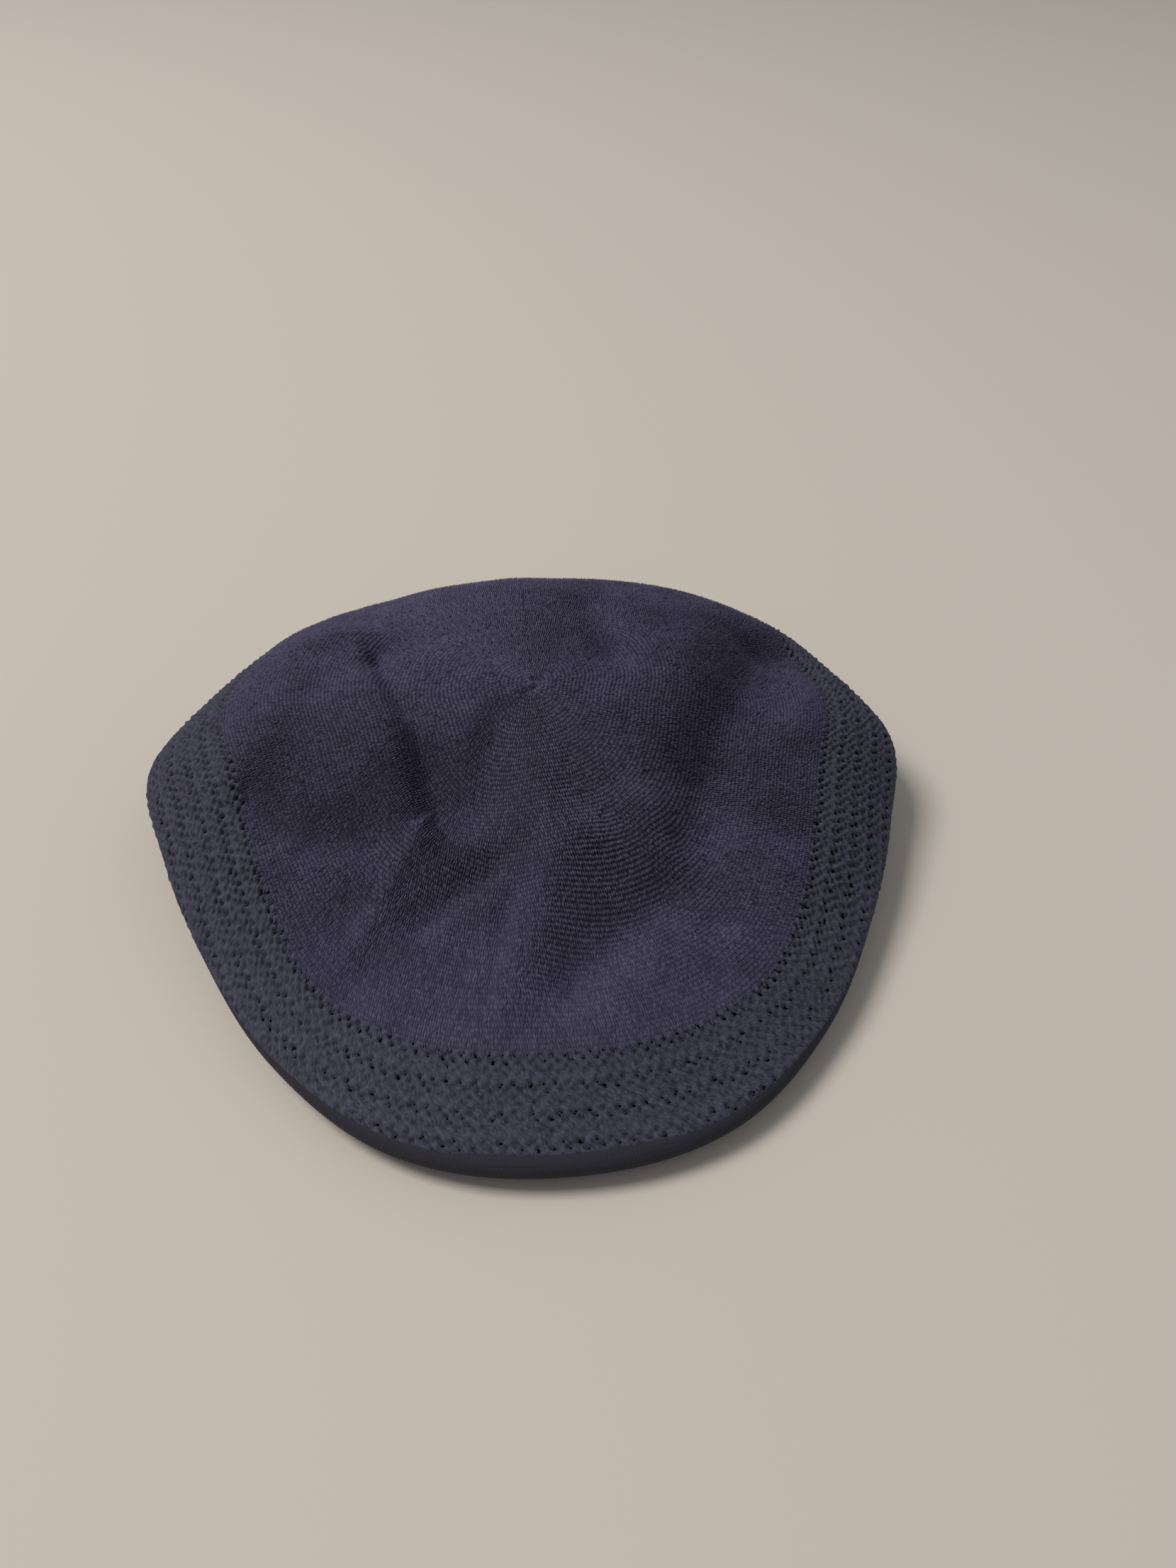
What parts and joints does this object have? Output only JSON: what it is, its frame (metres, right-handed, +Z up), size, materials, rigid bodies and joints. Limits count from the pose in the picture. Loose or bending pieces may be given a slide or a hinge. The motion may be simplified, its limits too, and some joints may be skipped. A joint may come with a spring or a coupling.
{
  "type": "knitted flat cap",
  "caption": "Soft knitted flat cap with folded plain-knit crown, pierced openwork band, short peak with rolled edge, and oval head opening.",
  "frame": {"origin": "under the middle of the cap's plan, in the plane of the head band's lower edge", "axes": "+Z up, the front of the cap faces -Y, its right-hand side seen from the front is +X"},
  "size_m": [0.2738, 0.252, 0.072],
  "materials": {
    "plain_knit": "plain fine knit in navy yarn, matt with a soft sheen",
    "vent_knit": "coarser openwork knit in navy yarn, matt",
    "edge_knit": "smooth dense knit in dark navy yarn, matt",
    "band_cloth": "plain dark navy cloth, matt"
  },
  "bodies": {
    "root": {"crown": "plain_knit", "vent_band": "vent_knit", "peak_edge": "edge_knit", "peak": "edge_knit", "under_band": "vent_knit", "head_band": "band_cloth"}
  },
  "joints": []
}
